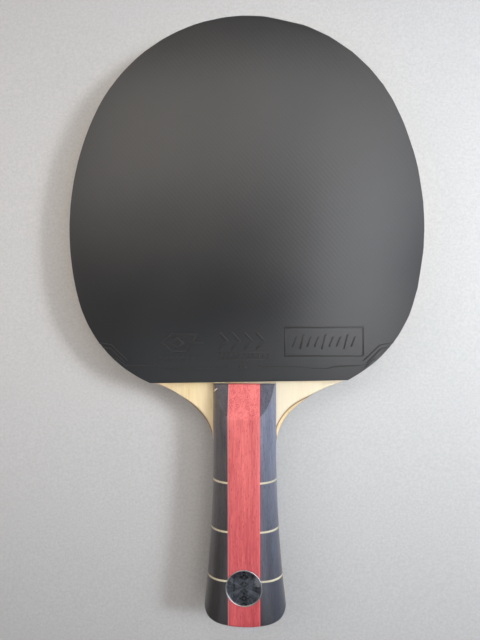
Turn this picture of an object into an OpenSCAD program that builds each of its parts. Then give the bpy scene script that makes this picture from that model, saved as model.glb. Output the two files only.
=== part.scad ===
// Table tennis paddle: a seven-ply wooden blade with a sheet of sponge-backed rubber
// on each face, and a flared handle of two laminated wooden scales with an inset badge.
// Millimetres. The handle lies along Y with the head towards +Y, and +Z is out of the
// front face. The origin is the middle of the paddle's length, on the blade's mid-plane.
// Left is -X and right is +X on both faces.

/* [Head] */
// Distance from the origin to the head's tip
tip_y = 128; // [124:1:132]
// Radius of the arc over the head's tip
tip_r = 70.8; // [68:0.2:74]
// Angle that the tip arc covers on each side of the axis
tip_sweep = 65; // [60:1:70]
// Radius of the arc along each side of the head
side_r = 115.6; // [110:0.2:120]
// Angle that each side arc covers
side_sweep = 40; // [36:1:44]
// Radius of the arc at each lower corner of the head
low_r = 53.4; // [50:0.2:56]

/* [Wings] */
// Radius of the concave arc where each wing meets the neck
neck_arc_r = 21.5; // [20:0.5:23]
// Angle that the neck arc covers before the wing opens out
neck_arc_sweep = 41.5; // [40:0.5:43]

/* [Plies] */
// Thickness of each outer face ply
face_ply_t = 0.55; // [0.4:0.05:0.8]
// Thickness of each crosswise ply under a face ply
cross_ply_t = 0.65; // [0.5:0.05:0.9]
// Thickness of each lengthwise ply beside the core
inner_ply_t = 1.1; // [0.9:0.05:1.4]
// Thickness of the core ply
core_ply_t = 1.8; // [1.4:0.1:3]

/* [Rubbers] */
// Thickness of each sponge
sponge_t = 2.1; // [1.5:0.1:2.2]
// Thickness of each topsheet with its pimples
topsheet_t = 1.7; // [1.5:0.1:1.8]
// Height along Y of the rubbers' straight lower edge
rubber_edge_y = -26.3; // [-27:0.1:-24]
// Slant of the hand-cut lower edge, in degrees
rubber_edge_slant = 1.1; // [0:0.1:2]

/* [Handle] */
// Width of the handle at the neck
neck_w = 27.1; // [26:0.1:28]
// Height along Y of the handle's front end
handle_front_y = -27.3; // [-29:0.1:-27.2]
// Height along Y where the wings end and the flare starts
flare_y = -55; // [-56:0.1:-54]
// Radius of each side's flare
flare_r = 560; // [500:10:700]
// Distance from the origin to the butt
butt_y = 128; // [126:1:132]
// Radius of the butt's convex end
butt_r = 47; // [40:1:60]
// Radius of each corner between side and butt
butt_corner_r = 4.5; // [3:0.5:6]
// Radius of each scale's long rounded edges
edge_r = 9.5; // [9:0.1:10]
// Height of the crown above the mid-plane at the handle's front end
crown_z = 11.2; // [10.5:0.1:11.7]
// Rise of the crown towards the butt, in degrees
crown_tilt = 0.35; // [0:0.05:0.6]
// Height of the scale's front face above the mid-plane
nose_z = 5.5; // [4.5:0.1:7]
// Slope of the bevel behind the front face, in degrees
nose_slope = 22.5; // [18:0.5:26]

/* [Laminations] */
// Width of the centre strip
strip_w = 13.5; // [12:0.1:15]
// Distance of the first inlay from the handle's front end
inlay_start = 40.7; // [36:0.1:44]
// Distance from one inlay to the next
inlay_step = 20.3; // [19:0.1:21.5]
// Thickness of an inlay
inlay_t = 0.8; // [0.5:0.1:1.2]

/* [Badge] */
// Height along Y of the badge's centre
badge_y = -111.5; // [-114:0.5:-109]
// Outside diameter of the badge's metal cup
badge_d = 15.4; // [14:0.1:16]
// Depth of the badge's pocket below the crown
pocket_depth = 1.5; // [1.2:0.1:2]
// Width of the cup's rim
badge_rim_w = 0.75; // [0.5:0.05:1]

/* [Hidden] */
faces = ["front", "back"];
sides = ["left", "right"];
inlay_d = [for (n = [0 : 2]) inlay_start + n * inlay_step];
block_numbers = [1 : len(inlay_d) + 1];
inlay_numbers = [1 : len(inlay_d)];
plies = ["face_ply", "cross_ply", "inner_ply"];

limba_colour = [0.90, 0.80, 0.60];
cross_colour = [0.80, 0.66, 0.45];
core_colour = [0.88, 0.80, 0.66];
slate_colour = [0.25, 0.26, 0.31];
red_wood_colour = [0.80, 0.27, 0.28];
inlay_colour = [0.82, 0.78, 0.62];

arc_turn = 6;        // most degrees between the points of an outline's arc
arc_chord = 4;       // most millimetres between them
smooth = 96;         // segments of a full circle
big = 400;           // longer than the paddle
reach = 60;          // wider than half the handle
skin = 1;            // how far a cutter stands clear of what it cuts

ply_t = [face_ply_t, cross_ply_t, inner_ply_t];
blade_half_t = core_ply_t / 2 + inner_ply_t + cross_ply_t + face_ply_t;
neck_half_w = neck_w / 2;
edge_meets_crown = 8;                  // degrees between a rounded edge and the crown
edge_drop = edge_r * cos(edge_meets_crown);
strip_half_w = strip_w / 2;
pocket_clearance = 0.05;
cup_floor_t = 0.4;
print_t = 0.2;
cup_proud = 0.25;                      // rim above the crown
dome_rise = 0.75;                      // lens crown above its own edge
badge_gap = 0.02;                      // between the cup and what it holds
lens_r = badge_d / 2 - badge_rim_w - badge_gap;

// Centres of the head's three right-hand arcs. Angles run clockwise from +Y.
function polar(a) = [sin(a), cos(a)];
tip_c = [0, tip_y - tip_r];
side_c = tip_c + (tip_r - side_r) * polar(tip_sweep);
low_start = tip_sweep + side_sweep;
low_c = side_c + (side_r - low_r) * polar(low_start);

// The wing's two concave arcs. The outer one is tangent to the neck arc and to the
// head's lower arc, which fixes its radius.
neck_end = [neck_half_w, flare_y];
neck_c = neck_end + [neck_arc_r, 0];
wing_dir = [cos(neck_arc_sweep), -sin(neck_arc_sweep)];
wing_v = neck_c - low_c - neck_arc_r * wing_dir;
wing_r = (wing_v * wing_v - low_r * low_r) / (2 * (low_r - wing_v * wing_dir));
wing_c = neck_c + (wing_r - neck_arc_r) * wing_dir;
low_end = 90 - atan2(wing_c[1] - low_c[1], wing_c[0] - low_c[0]);
rubber_stop = 168;                     // past the rubber's straight lower edge
neck_arc_end = 270 + neck_arc_sweep;

// Centre of the arc that rounds the corner between the right side and the butt. It lies
// one corner radius inside the butt's arc and one outside the flare's.
flare_c = [neck_half_w + flare_r, flare_y];
butt_c = [0, butt_r - butt_y];
corner_in_butt = butt_r - butt_corner_r;
corner_off_flare = flare_r + butt_corner_r;
butt_to_flare = flare_c - butt_c;
gap = norm(butt_to_flare);
corner_bend = acos((corner_in_butt ^ 2 + gap ^ 2 - corner_off_flare ^ 2) / (2 * corner_in_butt * gap));
butt_end = 90 - atan2(butt_to_flare[1], butt_to_flare[0]) + corner_bend;
corner_c = butt_c + corner_in_butt * polar(butt_end);
corner_to_flare = flare_c - corner_c;
flare_end = 90 - atan2(corner_to_flare[1], corner_to_flare[0]);

// Points of an arc about c, from angle a0 to a1, without the first
function arc(c, r, a0, a1) =
    let (
        turn = abs(a1 - a0),
        n = ceil(max(turn / arc_turn, turn * r * PI / 180 / arc_chord))
    )
    [for (i = [1 : n]) c + r * polar(a0 + (a1 - a0) * i / n)];

function mirrored(points) =
    [for (i = [len(points) - 1 : -1 : 0]) if (points[i][0] > 0.01) [-points[i][0], points[i][1]]];

// Right half of the head's outline, with its lower arc carried round to an angle
function head_half(low_stop) = concat(
    arc(tip_c, tip_r, 0, tip_sweep),
    arc(side_c, side_r, tip_sweep, low_start),
    arc(low_c, low_r, low_start, low_stop)
);

function wing_half() = concat(
    arc(wing_c, wing_r, low_end + 180, neck_arc_end),
    arc(neck_c, neck_arc_r, neck_arc_end, 270)
);

// Right side of the handle, from the end of the wing to the middle of the butt
function handle_half() = concat(
    arc(flare_c, flare_r, 270, flare_end + 180),
    arc(corner_c, butt_corner_r, flare_end, butt_end),
    arc(butt_c, butt_r, butt_end, 180)
);

// ---- Blade ----

module blade_outline() {
    right = concat(head_half(low_end), wing_half(), handle_half());
    polygon(concat([[0, tip_y]], right, mirrored(right)));
}

// One ply between two heights
module ply(z0, z1) {
    translate([0, 0, z0])
        linear_extrude(z1 - z0)
            blade_outline();
}

// Depth of a ply's outer face below the blade's face, by its place in the list of plies
function ply_top(i) = i == 0 ? blade_half_t : ply_top(i - 1) - ply_t[i - 1];

module core_ply() {
    color(core_colour)
        ply(-core_ply_t / 2, core_ply_t / 2);
}

module side_ply(i) {
    color(i == 1 ? cross_colour : limba_colour)
        ply(ply_top(i) - ply_t[i], ply_top(i));
}

// ---- Rubbers ----

module rubber_outline() {
    right = head_half(rubber_stop);
    intersection() {
        polygon(concat([[0, tip_y]], right, mirrored(right)));
        translate([0, rubber_edge_y])
            rotate(rubber_edge_slant)
                translate([-big / 2, 0])
                    square(big);
    }
}

module sponge() {
    color([0.93, 0.90, 0.66])
        translate([0, 0, blade_half_t])
            linear_extrude(sponge_t)
                rubber_outline();
}

// Sheet and pimples as one layer
module topsheet(colour) {
    color(colour)
        translate([0, 0, blade_half_t + sponge_t])
            linear_extrude(topsheet_t)
                rubber_outline();
}

// ---- Handle ----

module handle_plan() {
    difference() {
        intersection() {
            translate([-reach, -butt_y])
                square([2 * reach, butt_y + handle_front_y]);
            translate(butt_c)
                union() {
                    circle(butt_r, $fn = smooth * 2);
                    translate([-reach, 0])
                        square([2 * reach, big]);
                }
        }
        for (side = [-1, 1])
            scale_side(side) {
                translate(flare_c)
                    circle(flare_r, $fn = smooth * 16);
                translate([neck_half_w, flare_y])
                    square([reach, big]);
                butt_corner();
            }
    }
}

module scale_side(side) {
    if (side < 0)
        mirror([1, 0]) children();
    else
        children();
}

// What the rounding takes off that corner
module butt_corner() {
    touch_side = corner_c + butt_corner_r * polar(flare_end);
    touch_butt = corner_c + butt_corner_r * polar(butt_end);
    difference() {
        polygon([
            corner_c,
            touch_side,
            touch_side + [reach, 0],
            [touch_side[0] + reach, touch_butt[1] - reach],
            touch_butt + reach * polar(butt_end)
        ]);
        translate(corner_c)
            circle(butt_corner_r, $fn = smooth);
    }
}

// The frame of a scale's crown: tilted about the handle's front end, with z 0 on the crown
module on_crown() {
    translate([0, handle_front_y, crown_z])
        rotate([-crown_tilt, 0, 0])
            children();
}

// Section of what the rounding of a long edge takes off, measured from the handle's side.
// The arc runs out under the blade's face, so it never quite meets the side.
module edge_section() {
    difference() {
        translate([-edge_r, -edge_drop])
            square([edge_r + reach, edge_drop + skin]);
        translate([-edge_r, -edge_drop])
            circle(edge_r, $fn = smooth);
    }
}

// Rounds the right-hand long edge: straight along the neck, then around the flare
module edge_cutter() {
    neck_len = handle_front_y - flare_y;
    flare_angle = 9;
    translate([neck_half_w, -neck_len, 0])
        rotate([90, 0, 180])
            mirror([1, 0, 0])
                linear_extrude(neck_len + skin)
                    edge_section();
    translate([neck_half_w + flare_r, -neck_len, 0])
        rotate([0, 0, 180])
            rotate_extrude(angle = flare_angle, $fn = smooth * 16)
                translate([flare_r, 0])
                    mirror([1, 0])
                        edge_section();
}

module scale_blank() {
    nose_run = big / 2;
    difference() {
        translate([0, 0, blade_half_t])
            linear_extrude(crown_z)
                handle_plan();
        on_crown() {
            translate([-reach, -big, 0])
                cube([2 * reach, 2 * big, reach]);
            for (side = [0, 1])
                mirror([side, 0, 0])
                    edge_cutter();
        }
        translate([-reach, handle_front_y, nose_z])
            rotate([-nose_slope, 0, 0])
                translate([0, -nose_run, 0])
                    cube([2 * reach, 2 * nose_run, reach]);
    }
}

module badge_pocket() {
    on_crown()
        translate([0, badge_y - handle_front_y, -pocket_depth])
            cylinder(h = reach, d = badge_d + 2 * pocket_clearance, $fn = smooth);
}

// The part of a scale between two x and two distances from the front end
module scale_piece(face, x0, x1, d0, d1) {
    difference() {
        intersection() {
            scale_blank();
            translate([x0, handle_front_y - d1, 0])
                cube([x1 - x0, d1 - d0, reach]);
        }
        if (face == "front")
            badge_pocket();
    }
}

module centre_strip(face) {
    color(red_wood_colour)
        scale_piece(face, -strip_half_w, strip_half_w, -skin, big);
}

module side_piece(face, side, d0, d1) {
    if (side == "left")
        scale_piece(face, -reach, -strip_half_w, d0, d1);
    else
        scale_piece(face, strip_half_w, reach, d0, d1);
}

module block(face, side, n) {
    d0 = n == 1 ? -skin : inlay_d[n - 2] + inlay_t / 2;
    d1 = n > len(inlay_d) ? big : inlay_d[n - 1] - inlay_t / 2;
    color(slate_colour)
        side_piece(face, side, d0, d1);
}

module inlay(face, side, n) {
    color(inlay_colour)
        side_piece(face, side, inlay_d[n - 1] - inlay_t / 2, inlay_d[n - 1] + inlay_t / 2);
}

// ---- Badge ----

// The badge's own frame: z 0 on the pocket's floor
module in_pocket() {
    on_crown()
        translate([0, badge_y - handle_front_y, -pocket_depth])
            children();
}

module badge_cup() {
    rim_h = pocket_depth + cup_proud;
    color("silver")
        in_pocket()
            difference() {
                cylinder(h = rim_h, d = badge_d, $fn = smooth);
                translate([0, 0, cup_floor_t])
                    cylinder(h = rim_h, d = badge_d - 2 * badge_rim_w, $fn = smooth);
            }
}

module badge_print() {
    color([0.16, 0.17, 0.20])
        in_pocket()
            translate([0, 0, cup_floor_t])
                cylinder(h = print_t, r = lens_r, $fn = smooth);
}

module badge_dome() {
    base_z = cup_floor_t + print_t;
    side_h = pocket_depth + cup_proud - base_z - badge_gap;
    ball_r = (lens_r * lens_r + dome_rise * dome_rise) / (2 * dome_rise);
    color([0.75, 0.80, 0.85, 0.4])
        in_pocket()
            translate([0, 0, base_z])
                intersection() {
                    cylinder(h = side_h + dome_rise + skin, r = lens_r, $fn = smooth);
                    translate([0, 0, side_h + dome_rise - ball_r])
                        sphere(ball_r, $fn = smooth);
                }
}

// ---- Assembly ----

// Draws a front-face shape on the named face
module on_face(face) {
    mirror([0, 0, face == "back" ? 1 : 0])
        children();
}

core_ply();

for (face = faces) {
    for (i = [0 : len(plies) - 1])
        on_face(face) side_ply(i);

    on_face(face) sponge();
    on_face(face) topsheet(face == "front" ? [0.10, 0.10, 0.11] : [0.75, 0.08, 0.08]);

    on_face(face) centre_strip(face);

    for (side = sides) {
        for (n = block_numbers)
            on_face(face) block(face, side, n);
        for (n = inlay_numbers)
            on_face(face) inlay(face, side, n);
    }
}

badge_cup();
badge_print();
badge_dome();
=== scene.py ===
import math
import random

import bmesh
import bpy
from mathutils import Matrix, Vector, noise


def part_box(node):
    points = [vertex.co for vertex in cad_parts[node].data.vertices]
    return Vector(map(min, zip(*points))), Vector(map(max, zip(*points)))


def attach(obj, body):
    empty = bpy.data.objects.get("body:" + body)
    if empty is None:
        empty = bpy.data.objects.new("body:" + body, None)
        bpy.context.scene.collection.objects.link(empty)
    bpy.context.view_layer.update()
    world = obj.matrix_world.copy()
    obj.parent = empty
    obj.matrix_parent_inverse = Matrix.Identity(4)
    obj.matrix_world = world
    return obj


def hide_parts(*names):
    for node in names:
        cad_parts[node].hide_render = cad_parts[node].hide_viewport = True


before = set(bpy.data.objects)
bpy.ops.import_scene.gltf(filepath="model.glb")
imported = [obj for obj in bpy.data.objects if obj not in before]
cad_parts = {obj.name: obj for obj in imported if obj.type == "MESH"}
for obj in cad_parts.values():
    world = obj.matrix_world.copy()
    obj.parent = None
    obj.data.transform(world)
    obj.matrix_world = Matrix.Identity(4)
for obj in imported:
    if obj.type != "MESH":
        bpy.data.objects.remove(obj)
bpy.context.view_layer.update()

MM = 0.001
FACES = ("front", "back")


def mm_box(node):
    """Lowest and highest corner of a CAD node, in millimetres."""
    low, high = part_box(node)
    return Vector(low) / MM, Vector(high) / MM


# Levels and places that the CAD gives
core_top = mm_box("core_ply")[1].z
inner_top = mm_box("front_inner_ply")[1].z
cross_top = mm_box("front_cross_ply")[1].z
blade_top = mm_box("front_face_ply")[1].z
sponge_top = mm_box("front_sponge")[1].z
rubber_top = mm_box("front_topsheet")[1].z
tip_y = mm_box("core_ply")[1].y
butt_y = mm_box("core_ply")[0].y
strip_high = mm_box("front_centre_strip")[1]
strip_half = strip_high.x
handle_front = strip_high.y
INLAYS = [(mm_box(f"front_left_inlay_{n}")[1].y, mm_box(f"front_left_inlay_{n}")[0].y) for n in (1, 2, 3)]
badge_low, badge_high = mm_box("badge_cup")
badge_y = (badge_low.y + badge_high.y) / 2

# Arcs of the head's right half: centre, and degrees turned clockwise from the tip
TIP_R, SIDE_R, LOW_R = 70.8, 115.6, 53.4
TIP_SWEEP, SIDE_SWEEP = 65, 40


def clock(degrees):
    """Unit vector at a clockwise angle from +Y."""
    a = math.radians(degrees)
    return Vector((math.sin(a), math.cos(a)))


def clock_of(v):
    return math.degrees(math.atan2(v.x, v.y)) % 360


tip_c = Vector((0, tip_y - TIP_R))
side_c = tip_c + (TIP_R - SIDE_R) * clock(TIP_SWEEP)
low_c = side_c + (SIDE_R - LOW_R) * clock(TIP_SWEEP + SIDE_SWEEP)

# Wings, flare and butt
NECK_HALF, NECK_R, NECK_SWEEP = 13.55, 21.5, 41.5
FLARE_Y, FLARE_R = -55, 560
BUTT_R, CORNER_R = 47, 4.5
neck_c = Vector((NECK_HALF + NECK_R, FLARE_Y))
# The wing's arc runs smoothly into the neck's arc and the head's lowest one, which settles its radius
to_wing = clock(90 + NECK_SWEEP)
from_low = neck_c - low_c - NECK_R * to_wing
wing_r = (from_low.length_squared - LOW_R ** 2) / (2 * (LOW_R - from_low.dot(to_wing)))
wing_c = neck_c + (wing_r - NECK_R) * to_wing
low_end = clock_of(wing_c - low_c)
flare_c = Vector((NECK_HALF + FLARE_R, FLARE_Y))
butt_c = Vector((0, butt_y + BUTT_R))
# So does the rounded corner's arc between the flare and the butt, which settles where the butt's arc ends
to_flare = flare_c - butt_c
bend = math.acos(((BUTT_R - CORNER_R) ** 2 + to_flare.length_squared - (FLARE_R + CORNER_R) ** 2)
                 / (2 * (BUTT_R - CORNER_R) * to_flare.length))
butt_end = clock_of(to_flare) + math.degrees(bend)
corner_c = butt_c + (BUTT_R - CORNER_R) * clock(butt_end)
flare_end = clock_of(flare_c - corner_c)


# Handle's cross-section and its sloping nose
EDGE_R, BUTT_EASE = 9.5, 1.1
CROWN_Z, CROWN_LEAN = 11.2, math.radians(0.35)
FLAT_SHARE = 0.2
NOSE_Z, NOSE_SLOPE = 5.5, math.radians(22.5)


# ---------------------------------------------------------------- mesh helpers

def arc(bm, vert, centre, degrees, steps):
    """Carries a chain of edges on from a vertex, clockwise around a centre, and returns its new end."""
    turned = bmesh.ops.spin(bm, geom=[vert], cent=(centre.x, centre.y, 0), axis=(0, 0, 1),
                            angle=math.radians(-degrees), steps=steps, use_duplicate=False)
    return next(g for g in turned["geom_last"] if isinstance(g, bmesh.types.BMVert))


def head_half(bm, low_stop):
    """The head's right half as a chain of edges from the tip."""
    end = bm.verts.new((0, tip_y, 0))
    end = arc(bm, end, tip_c, TIP_SWEEP, 34)
    end = arc(bm, end, side_c, SIDE_SWEEP, 34)
    return arc(bm, end, low_c, low_stop - TIP_SWEEP - SIDE_SWEEP, 24)


def mirror_x(bm):
    bmesh.ops.mirror(bm, geom=bm.verts[:] + bm.edges[:], matrix=Matrix(), merge_dist=0.01, axis="X")
    bmesh.ops.remove_doubles(bm, verts=bm.verts[:], dist=0.005)


def fill_holes(bm):
    rim = [e for e in bm.edges if e.is_boundary]
    if rim:
        bmesh.ops.holes_fill(bm, edges=rim, sides=0)


def cut(bm, at, normal):
    """Cuts away what lies on the normal's side of a plane, and closes the cut."""
    bmesh.ops.bisect_plane(bm, geom=bm.verts[:] + bm.edges[:] + bm.faces[:], dist=0.0005,
                           plane_co=at, plane_no=normal, clear_outer=True)
    fill_holes(bm)


def soften(bm, angle=32):
    """Smooth shading, with edges sharper than an angle kept crisp."""
    bmesh.ops.recalc_face_normals(bm, faces=bm.faces[:])
    for face in bm.faces:
        face.smooth = True
    for edge in bm.edges:
        edge.smooth = len(edge.link_faces) == 2 and edge.calc_face_angle(0) < math.radians(angle)


def new_object(name, bm):
    """Turns a mesh in millimetres into an object."""
    bmesh.ops.scale(bm, vec=(MM, MM, MM), verts=bm.verts[:])
    mesh = bpy.data.meshes.new(name)
    bm.to_mesh(mesh)
    bm.free()
    made = bpy.data.objects.new(name, mesh)
    bpy.context.collection.objects.link(made)
    return made


def piece(name, bm, finish, cad_node=None, angle=32):
    """Turns a mesh in millimetres into a finished piece of the paddle."""
    soften(bm, angle)
    made = new_object(name, bm)
    made.data.materials.append(finish)
    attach(made, "root")
    if cad_node:
        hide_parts(cad_node)
    return made


def flip_z(bm):
    """Turns a front piece into its twin on the back."""
    bmesh.ops.scale(bm, vec=(1, 1, -1), verts=bm.verts[:])
    bmesh.ops.reverse_faces(bm, faces=bm.faces[:])


def smooth_step(low, high, value):
    t = min(1, max(0, (value - low) / (high - low)))
    return t * t * (3 - 2 * t)


# ---------------------------------------------------------------- node helpers

def feed(tree, value, socket):
    """Links an output to a socket, or sets the socket to a plain number or colour."""
    if isinstance(value, bpy.types.NodeSocket):
        tree.links.new(value, socket)
    elif socket.type == "RGBA":
        socket.default_value = (*value, 1)
    else:
        socket.default_value = value


def fed(tree, kind, *values):
    """A new node whose first inputs are given in order."""
    made = tree.nodes.new(kind)
    for socket, value in zip(made.inputs, values):
        if value is not None:
            feed(tree, value, socket)
    return made


def maths(tree, operation, a, b=None, c=None):
    made = fed(tree, "ShaderNodeMath", a, b, c)
    made.operation = operation
    return made.outputs[0]


def times(tree, a, b):
    return maths(tree, "MULTIPLY", a, b)


def vector_maths(tree, operation, a, b=None, c=None):
    made = fed(tree, "ShaderNodeVectorMath", a, b, c)
    made.operation = operation
    return made


def span(tree, value, from_low, from_high, to_low=0.0, to_high=1.0, smooth=False):
    """Maps a value from one range to another, held within it."""
    made = fed(tree, "ShaderNodeMapRange", value, from_low, from_high, to_low, to_high)
    made.interpolation_type = "SMOOTHSTEP" if smooth else "LINEAR"
    return made.outputs[0]


def blend(tree, factor, a, b, kind="MIX"):
    """Mixes two colours."""
    made = tree.nodes.new("ShaderNodeMix")
    made.data_type = "RGBA"
    made.blend_type = kind
    for socket, value in ((made.inputs[0], factor), (made.inputs[6], a), (made.inputs[7], b)):
        feed(tree, value, socket)
    return made.outputs[2]


def mapped(tree, vector, kind="POINT", **values):
    """A place that is moved, turned or stretched."""
    made = fed(tree, "ShaderNodeMapping", vector)
    made.vector_type = kind
    for label, value in values.items():
        made.inputs[label].default_value = value
    return made.outputs[0]


def parts_of(tree, kind, value):
    """The three parts of an XYZ place or of a Color."""
    return fed(tree, "ShaderNodeSeparate" + kind, value).outputs


def clouds(tree, place, scale, detail=2.0, roughness=0.5):
    """Soft noise."""
    return fed(tree, "ShaderNodeTexNoise", place, None, scale, detail, roughness)


def round_cells(tree, place, scale):
    """Cells, each with the distance from its middle and a colour of its own."""
    return fed(tree, "ShaderNodeTexVoronoi", place, None, scale)


def group(name, inputs, outputs):
    """A node group with named inputs and outputs, and its input and output nodes."""
    tree = bpy.data.node_groups.new(name, "ShaderNodeTree")
    for label, kind, value in inputs:
        socket = tree.interface.new_socket(label, in_out="INPUT", socket_type=kind)
        if value is not None:
            socket.default_value = value
    for label, kind in outputs:
        tree.interface.new_socket(label, in_out="OUTPUT", socket_type=kind)
    return tree, tree.nodes.new("NodeGroupInput"), tree.nodes.new("NodeGroupOutput")


def use(tree, made_group, **values):
    """Places a group in a material. A value's name is its input's, with _ for a space."""
    made = tree.nodes.new("ShaderNodeGroup")
    made.node_tree = made_group
    for key, value in values.items():
        feed(tree, value, made.inputs[key.replace("_", " ")])
    return made


FLOAT, VECTOR = "NodeSocketFloat", "NodeSocketVector"


def material(name):
    """A new material, its tree, its Principled shader and its Object coordinates in millimetres."""
    made = bpy.data.materials.new(name)
    made.use_nodes = True
    tree = made.node_tree
    shader = tree.nodes["Principled BSDF"]
    place = tree.nodes.new("ShaderNodeTexCoord")
    in_mm = vector_maths(tree, "SCALE", place.outputs["Object"])
    in_mm.inputs["Scale"].default_value = 1 / MM
    return made, tree, shader, in_mm.outputs[0]


def bump(tree, shader, height, relief):
    """Feeds a height into the shader's normal, with its relief in millimetres."""
    made = tree.nodes.new("ShaderNodeBump")
    made.inputs["Strength"].default_value = 1.0
    made.inputs["Distance"].default_value = relief * MM
    feed(tree, height, made.inputs["Height"])
    feed(tree, made.outputs[0], shader.inputs["Normal"])


# ---------------------------------------------------------------- shared effects

def make_wood_grain():
    """Long fibres, slow bands and short open pores, all running along Y."""
    tree, start, end = group(
        "wood grain",
        [("Place", VECTOR, None), ("Fibre", FLOAT, 2.2), ("Band", FLOAT, 0.25), ("Pore Spacing", FLOAT, 0.9),
         ("Pore Length", FLOAT, 6.0), ("Pore Share", FLOAT, 0.5)],
        [("Fibre", FLOAT), ("Band", FLOAT), ("Pore", FLOAT), ("Height", FLOAT)])
    place = start.outputs["Place"]
    bend = clouds(tree, place, 0.02, 2.0)
    bent = vector_maths(tree, "MULTIPLY_ADD", bend.outputs["Color"], (2.5, 0, 2.5), place).outputs[0]

    along_fibre = mapped(tree, bent, Scale=(1, 0.045, 1))
    fibre = clouds(tree, along_fibre, start.outputs["Fibre"], 4.0, 0.6)
    along_band = mapped(tree, bent, Scale=(1, 0.07, 1), Location=(31, 7, 3))
    band = clouds(tree, along_band, start.outputs["Band"])

    # Pores are the middles of long, thin cells, and only some cells have one
    across = maths(tree, "DIVIDE", 1.0, start.outputs["Pore Spacing"])
    along = maths(tree, "DIVIDE", across, start.outputs["Pore Length"])
    cell_size = fed(tree, "ShaderNodeCombineXYZ", across, along, across)
    cells = vector_maths(tree, "MULTIPLY", bent, cell_size.outputs[0])
    pores = round_cells(tree, cells.outputs[0], 1.0)
    middle = span(tree, pores.outputs["Distance"], 0.12, 0.36, 1.0, 0.0, smooth=True)
    pick = parts_of(tree, "Color", pores.outputs["Color"])
    chosen = maths(tree, "LESS_THAN", pick[0], start.outputs["Pore Share"])
    depth = span(tree, pick[1], 0.0, 1.0, 0.45, 1.0)
    pore = times(tree, times(tree, middle, chosen), depth)
    feed(tree, fibre.outputs["Fac"], end.inputs["Fibre"])
    feed(tree, band.outputs["Fac"], end.inputs["Band"])
    feed(tree, pore, end.inputs["Pore"])
    height = maths(tree, "MULTIPLY_ADD", fibre.outputs["Fac"], 0.35, times(tree, pore, -0.65))
    feed(tree, height, end.inputs["Height"])
    return tree


def make_specks():
    """Scattered specks of dust."""
    inputs = [("Place", VECTOR, None), ("Spacing", FLOAT, 7.0), ("Share", FLOAT, 0.3)]
    tree, start, end = group("dust specks", inputs, [("Speck", FLOAT)])
    cells = round_cells(tree, start.outputs["Place"], maths(tree, "DIVIDE", 1.0, start.outputs["Spacing"]))
    pick = parts_of(tree, "Color", cells.outputs["Color"])
    chosen = maths(tree, "LESS_THAN", pick[0], start.outputs["Share"])
    size = span(tree, maths(tree, "POWER", pick[1], 3.0), 0.0, 1.0, 0.018, 0.05)
    near = maths(tree, "LESS_THAN", cells.outputs["Distance"], size)
    strength = span(tree, pick[2], 0, 1, 0.3, 1)
    feed(tree, times(tree, times(tree, near, chosen), strength), end.inputs["Speck"])
    return tree


def make_pimple_print():
    """The faint print of the pimples through a topsheet: a staggered lattice of soft bumps."""
    tree, start, end = group("pimple print", [("Place", VECTOR, None)], [("Height", FLOAT)])
    x, y, _ = parts_of(tree, "XYZ", start.outputs["Place"])
    x = times(tree, x, math.pi / ROW_STEP)
    y = times(tree, times(tree, y, 2 * math.pi / PIMPLE_STEP), 0.5)
    # One product peaks on a grid of points, and the other in the middles of its cells
    even = times(tree, maths(tree, "COSINE", x), maths(tree, "COSINE", y))
    odd = times(tree, maths(tree, "SINE", x), maths(tree, "SINE", y))
    up = maths(tree, "MAXIMUM", maths(tree, "ABSOLUTE", even), maths(tree, "ABSOLUTE", odd))
    feed(tree, maths(tree, "POWER", up, 2.0), end.inputs["Height"])
    return tree


def make_handle_zones():
    """Masks along the handle.

    Seam and Border lie beside the middle strip, Nose on the sloping front, Painted Front Shade on its last
    half millimetre, where painted shade goes, and Chip on a knocked corner. Right is 1 on the right side.
    Painted Light Along grows from the butt to the front and carries painted light along the handle.
    """
    masks = ("Seam", "Border", "Nose", "Chip", "Right", "Fade", "Front")
    tree, start, end = group("handle zones", [("Place", VECTOR, None)], [(mask, FLOAT) for mask in masks])
    x, y, z = parts_of(tree, "XYZ", start.outputs["Place"])
    feed(tree, maths(tree, "GREATER_THAN", x, 0.0), end.inputs["Right"])
    feed(tree, span(tree, y, butt_y, handle_front), end.inputs["Fade"])
    feed(tree, span(tree, y, handle_front - 0.55, handle_front - 0.15), end.inputs["Front"])
    wander = clouds(tree, start.outputs["Place"], 0.4, 2.0)
    drift = maths(tree, "MULTIPLY_ADD", wander.outputs["Fac"], 0.3, -0.15)
    off_seam = maths(tree, "ABSOLUTE", maths(tree, "SUBTRACT", maths(tree, "ABSOLUTE", x), strip_half))
    feed(tree, span(tree, off_seam, 0.03, 0.16, 1.0, 0.0), end.inputs["Seam"])
    feed(tree, span(tree, maths(tree, "ADD", off_seam, drift), 0.15, 0.6, 1.0, 0.0), end.inputs["Border"])
    behind = maths(tree, "SUBTRACT", handle_front, y)
    slope = maths(tree, "MULTIPLY_ADD", behind, math.tan(NOSE_SLOPE), NOSE_Z)
    off_nose = maths(tree, "ABSOLUTE", maths(tree, "SUBTRACT", maths(tree, "ABSOLUTE", z), slope))
    feed(tree, span(tree, off_nose, 0.03, 0.12, 1.0, 0.0), end.inputs["Nose"])
    # The chip is a slanting oval with a ragged edge
    from_chip = vector_maths(tree, "SUBTRACT", start.outputs["Place"], (-12.3, handle_front - 2.6, 5.6))
    oval = mapped(tree, from_chip.outputs[0], "TEXTURE", Rotation=(0, 0, math.radians(38)),
                  Scale=(2.2, 0.6, 2.5))
    reach = vector_maths(tree, "LENGTH", oval).outputs["Value"]
    rough_reach = maths(tree, "ADD", reach, times(tree, drift, 3.0))
    feed(tree, span(tree, rough_reach, 0.45, 0.75, 1.0, 0.0), end.inputs["Chip"])
    return tree


ROW_STEP, PIMPLE_STEP = 2.04, 2.35
wood_grain = make_wood_grain()
handle_zones = make_handle_zones()
specks = make_specks()
pimple_print = make_pimple_print()


# ---------------------------------------------------------------- materials

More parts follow.
